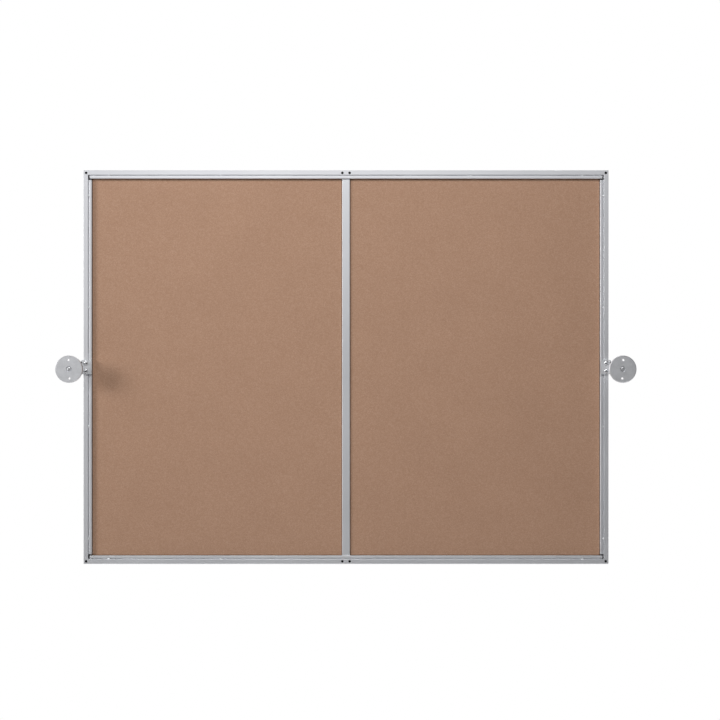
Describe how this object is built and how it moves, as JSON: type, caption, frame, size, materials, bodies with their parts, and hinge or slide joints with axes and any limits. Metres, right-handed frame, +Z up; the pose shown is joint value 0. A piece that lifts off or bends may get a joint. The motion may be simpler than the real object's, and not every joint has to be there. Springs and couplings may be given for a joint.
{
  "type": "cork bulletin board",
  "caption": "Rectangular aluminium-framed cork board with a centre bar, held off a wall by a tilting arm and round wall plate on each side.",
  "frame": {"origin": "on the wall's face, midway between the centres of the two wall plates", "axes": "+X to the right along the board's width as seen from the wall side, +Y away from the wall, towards the board and the room, +Z up"},
  "size_m": [1.316, 0.067, 0.9],
  "materials": {
    "frame_aluminium": "satin anodised",
    "mount_metal": "fine blasted",
    "bright_screw": "zinc plated",
    "dark_screw": "black oxide",
    "cork": "fine-grain cork, matte",
    "core_fibreboard": "pressed fibreboard",
    "black_plastic": "moulded nylon",
    "nylon_washer": "natural nylon"
  },
  "bodies": {
    "wall_posts": {"left_plate_screw": "bright_screw", "left_post": "mount_metal", "left_swivel_washer": "nylon_washer", "right_plate_screw": "bright_screw", "right_post": "mount_metal", "right_swivel_washer": "nylon_washer"},
    "board": {"bar_screw_bottom_1": "dark_screw", "bar_screw_bottom_2": "dark_screw", "bar_screw_top_1": "dark_screw", "bar_screw_top_2": "dark_screw", "bottom_bar_connector": "black_plastic", "bottom_bead": "frame_aluminium", "bottom_left_corner_key": "black_plastic", "bottom_left_corner_screw": "dark_screw", "bottom_rail": "frame_aluminium", "bottom_right_corner_key": "black_plastic", "bottom_right_corner_screw": "dark_screw", "centre_bar": "frame_aluminium", "left_arm_plate": "mount_metal", "left_arm_screw_lower": "bright_screw", "left_arm_screw_upper": "bright_screw", "left_bead": "frame_aluminium", "left_block_rivet_inner": "dark_screw", "left_block_rivet_outer": "dark_screw", "left_clevis_block": "mount_metal", "left_core_board": "core_fibreboard", "left_friction_washer_1": "nylon_washer", "left_friction_washer_2": "nylon_washer", "left_front_cork": "cork", "left_rear_cork": "cork", "left_stile": "frame_aluminium", "left_tilt_bolt": "bright_screw", "left_tilt_nut": "bright_screw", "right_arm_plate": "mount_metal", "right_arm_screw_lower": "bright_screw", "right_arm_screw_upper": "bright_screw", "right_bead": "frame_aluminium", "right_block_rivet_inner": "dark_screw", "right_block_rivet_outer": "dark_screw", "right_clevis_block": "mount_metal", "right_core_board": "core_fibreboard", "right_friction_washer_1": "nylon_washer", "right_friction_washer_2": "nylon_washer", "right_front_cork": "cork", "right_rear_cork": "cork", "right_stile": "frame_aluminium", "right_tilt_bolt": "bright_screw", "right_tilt_nut": "bright_screw", "top_bar_connector": "black_plastic", "top_bead": "frame_aluminium", "top_left_corner_key": "black_plastic", "top_left_corner_screw": "dark_screw", "top_rail": "frame_aluminium", "top_right_corner_key": "black_plastic", "top_right_corner_screw": "dark_screw"},
    "left_plate": {"left_wall_plate": "mount_metal"},
    "right_plate": {"right_wall_plate": "mount_metal"}
  },
  "joints": [
    {"name": "board_tilt", "type": "hinge", "parent": "wall_posts", "child": "board", "pos_m": [0, 0.03, 0], "axis": [1, 0, 0], "range_deg": [-5, 5]},
    {"name": "left_plate_swivel", "type": "hinge", "parent": "wall_posts", "child": "left_plate", "pos_m": [-0.627, 0, 0], "axis": [0, 1, 0], "continuous": true},
    {"name": "right_plate_swivel", "type": "hinge", "parent": "wall_posts", "child": "right_plate", "pos_m": [0.627, 0, 0], "axis": [0, 1, 0], "continuous": true}
  ]
}
